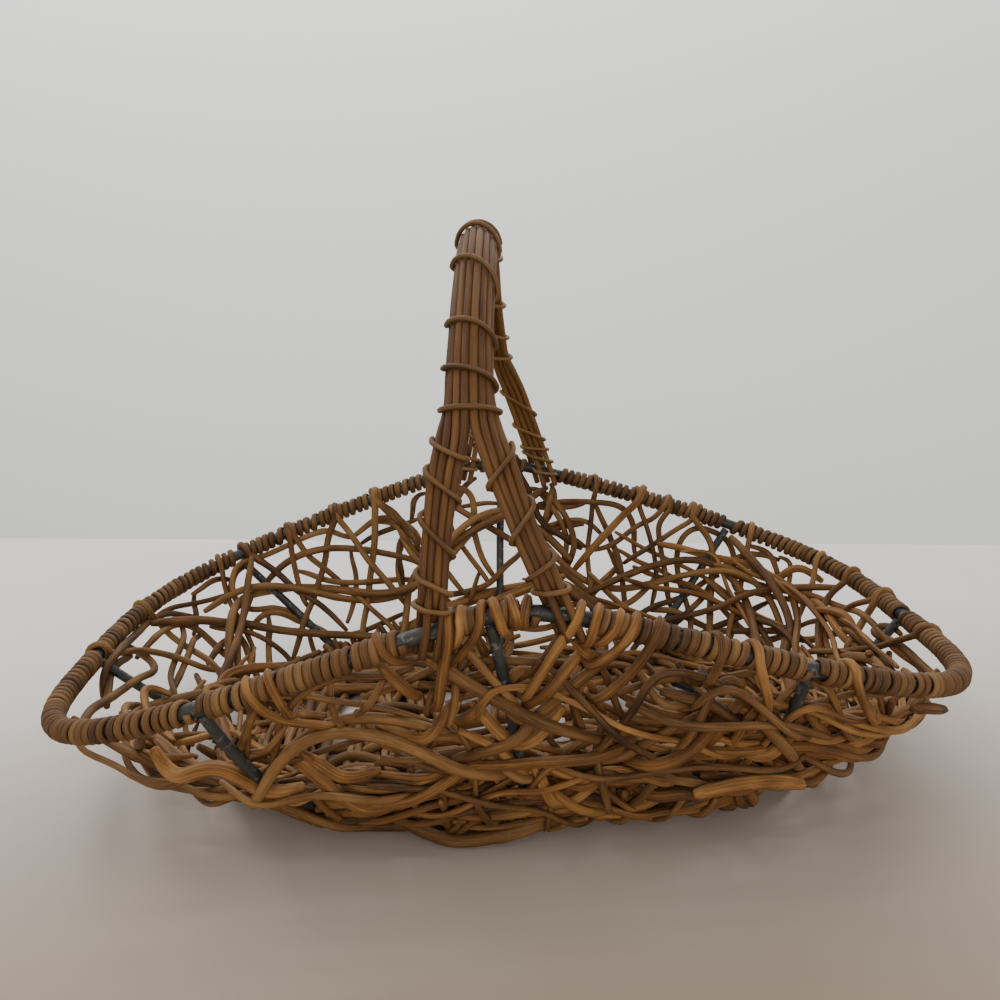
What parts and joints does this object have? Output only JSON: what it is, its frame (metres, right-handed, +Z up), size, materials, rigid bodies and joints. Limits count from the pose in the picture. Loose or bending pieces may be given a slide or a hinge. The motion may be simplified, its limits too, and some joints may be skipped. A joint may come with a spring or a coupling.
{
  "type": "grapevine basket",
  "caption": "Shallow boat-shaped flower basket of woven vines on a rod frame, with a wound rim and a bound carrying arch that parts into two legs on each side.",
  "frame": {"origin": "middle of the foot ring, on the surface that the basket stands on", "axes": "+X along the basket to the right, +Y from the front to the back, across which the carrying arch runs, +Z up"},
  "size_m": [0.5447, 0.3626, 0.3341],
  "materials": {
    "frame_steel": "chipped black paint, dull, grey-green where worn",
    "rim_wrap": "split vine, dry and matt, greyed on top",
    "vine": "peeled grapevine, matt, fine lengthwise grain",
    "arch_cane": "round cane, smooth, slight sheen",
    "binding_cane": "thin round cane, matt"
  },
  "bodies": {
    "root": {"rim_hoop": "frame_steel", "foot_ring": "frame_steel", "rib_right": "frame_steel", "rib_back_right": "frame_steel", "rib_back": "frame_steel", "rib_back_left": "frame_steel", "rib_left": "frame_steel", "rib_front_left": "frame_steel", "rib_front": "frame_steel", "rib_front_right": "frame_steel", "arch_cane_1": "arch_cane", "arch_cane_2": "arch_cane", "arch_cane_3": "arch_cane", "arch_cane_4": "arch_cane", "arch_cane_5": "arch_cane", "arch_cane_6": "arch_cane", "arch_cane_7": "arch_cane", "arch_cane_8": "arch_cane", "binding_crown": "binding_cane", "binding_leg_front_left": "binding_cane", "binding_leg_front_right": "binding_cane", "binding_leg_back_left": "binding_cane", "binding_leg_back_right": "binding_cane", "rim_wrap_1": "rim_wrap", "rim_wrap_2": "rim_wrap", "rim_wrap_3": "rim_wrap", "rim_wrap_4": "rim_wrap", "rim_wrap_5": "rim_wrap", "rim_wrap_6": "rim_wrap", "rim_wrap_7": "rim_wrap", "rim_wrap_8": "rim_wrap", "rim_wrap_9": "rim_wrap", "rim_wrap_10": "rim_wrap", "rim_wrap_11": "rim_wrap", "rim_wrap_12": "rim_wrap", "vine_riser_left_1": "vine", "vine_riser_left_2": "vine", "vine_riser_left_3": "vine", "vine_riser_left_4": "vine", "vine_riser_left_5": "vine", "vine_riser_left_6": "vine", "vine_riser_right_1": "vine", "vine_riser_right_2": "vine", "vine_riser_right_3": "vine", "vine_riser_right_4": "vine", "vine_riser_right_5": "vine", "vine_riser_right_6": "vine", "vine_wave_1": "vine", "vine_wave_2": "vine", "vine_wave_3": "vine", "vine_wave_4": "vine", "vine_wave_5": "vine", "vine_belt_1": "vine", "vine_belt_2": "vine", "vine_belt_3": "vine", "vine_floor_lengthwise_1": "vine", "vine_floor_lengthwise_2": "vine", "vine_floor_lengthwise_3": "vine", "vine_floor_crosswise_1": "vine", "vine_floor_crosswise_2": "vine"}
  },
  "joints": []
}
